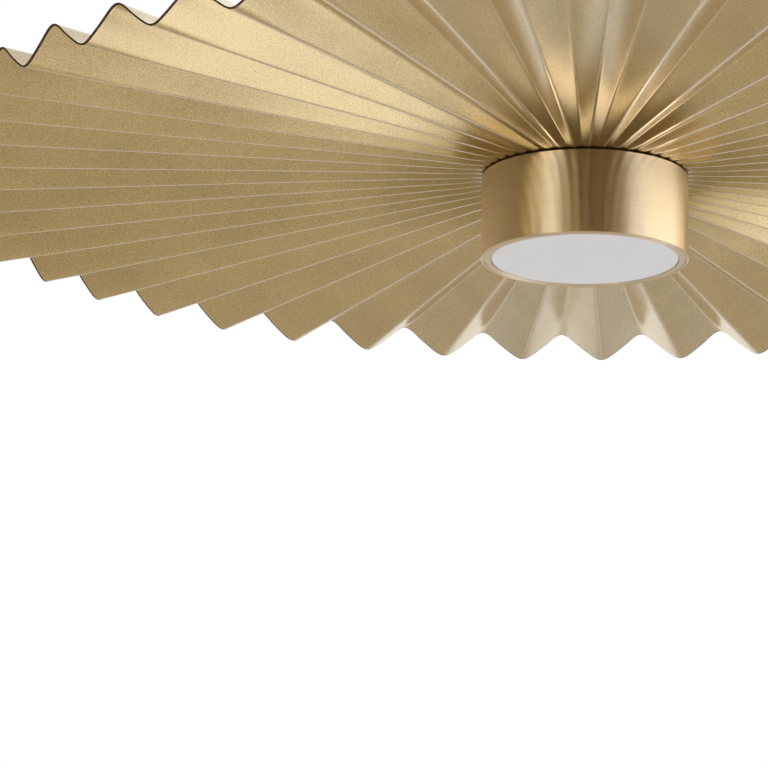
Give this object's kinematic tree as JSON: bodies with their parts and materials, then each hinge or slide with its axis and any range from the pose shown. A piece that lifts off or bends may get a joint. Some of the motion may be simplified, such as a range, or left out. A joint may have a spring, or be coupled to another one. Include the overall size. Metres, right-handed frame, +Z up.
{
  "type": "led ceiling light",
  "caption": "Flush ceiling light: a wide radially pleated metal disc between a shallow canopy and a short drum head with a flat opal diffuser in a screw-in ring.",
  "frame": {"origin": "middle of the ceiling bracket's top face, on the ceiling", "axes": "+Z up into the ceiling, +X along the bracket's strap from left to right screw, +Y away from the terminal block towards the driver"},
  "size_m": [0.6, 0.6, 0.0917],
  "materials": {
    "pleated_brass": "satin champagne brass with a fine grain",
    "brushed_brass": "brushed round the drum",
    "ring_brass": "turned, fine concentric lines",
    "turned_brass": "turned",
    "canopy_brass": "satin",
    "steel": "zinc plated",
    "aluminium": "mill finish",
    "tinned_metal": "tinned",
    "opal": "opal acrylic, satin",
    "white_plastic": "moulded",
    "driver_plastic": "fine textured",
    "lever_plastic": "moulded",
    "board_white": "white, matt",
    "led_phosphor": "yellow phosphor",
    "wire_brown": "satin insulation",
    "wire_green": "satin insulation",
    "wire_red": "satin insulation",
    "cable_white": "satin sheath"
  },
  "bodies": {
    "fixture": {"ceiling_bracket": "steel", "canopy": "canopy_brass", "terminal_block": "white_plastic", "lever_pin": "steel", "block_screws": "steel", "driver_case": "driver_plastic", "driver_lid": "driver_plastic", "driver_screws": "steel", "mains_leads": "wire_brown", "earth_lead": "wire_green", "earth_lug": "tinned_metal", "earth_screw": "steel", "led_cable": "cable_white", "led_cores": "wire_red", "fixing_tube": "steel", "tube_bush": "white_plastic", "canopy_nut": "steel", "canopy_washer": "steel", "spacer": "turned_brass", "upper_plate": "steel", "shade_bush": "driver_plastic", "pleated_shade": "pleated_brass", "head_housing": "brushed_brass", "head_nut": "steel", "head_washer": "steel", "heat_spreader": "aluminium", "led_board": "board_white", "led_chips": "led_phosphor", "board_connector": "white_plastic", "module_screws": "steel", "reflector": "board_white"},
    "diffuser": {"diffuser": "opal"},
    "front_ring": {"front_ring": "ring_brass"},
    "side_screw_left": {"side_screw_left": "turned_brass"},
    "side_screw_right": {"side_screw_right": "turned_brass"},
    "lever_live": {"terminal_lever_live": "lever_plastic"},
    "lever_neutral": {"terminal_lever_neutral": "lever_plastic"},
    "lever_earth": {"terminal_lever_earth": "lever_plastic"}
  },
  "joints": [
    {"name": "diffuser_drop", "type": "slide", "parent": "fixture", "child": "diffuser", "axis": [0, 0, -1], "range_m": [0, 0.006]},
    {"name": "ring_turn", "type": "hinge", "parent": "diffuser", "child": "front_ring", "pos_m": [0, 0, -0.09], "axis": [0, 0, -1], "range_deg": [0, 1080]},
    {"name": "side_screw_left_turn", "type": "hinge", "parent": "fixture", "child": "side_screw_left", "pos_m": [-0.0703, 0, -0.01], "axis": [-1, 0, 0], "range_deg": [0, 1080]},
    {"name": "side_screw_right_turn", "type": "hinge", "parent": "fixture", "child": "side_screw_right", "pos_m": [0.0703, 0, -0.01], "axis": [1, 0, 0], "range_deg": [0, 1080]},
    {"name": "lever_live_open", "type": "hinge", "parent": "fixture", "child": "lever_live", "pos_m": [-0.007, -0.024, -0.0282], "axis": [-1, 0, 0], "range_deg": [0, 85]},
    {"name": "lever_neutral_open", "type": "hinge", "parent": "fixture", "child": "lever_neutral", "pos_m": [0, -0.024, -0.0282], "axis": [-1, 0, 0], "range_deg": [0, 85]},
    {"name": "lever_earth_open", "type": "hinge", "parent": "fixture", "child": "lever_earth", "pos_m": [0.007, -0.024, -0.0282], "axis": [-1, 0, 0], "range_deg": [0, 85]}
  ],
  "couplings": [
    {"joint": "diffuser_drop", "follows": "ring_turn", "m_per_rad": 0.000318}
  ]
}
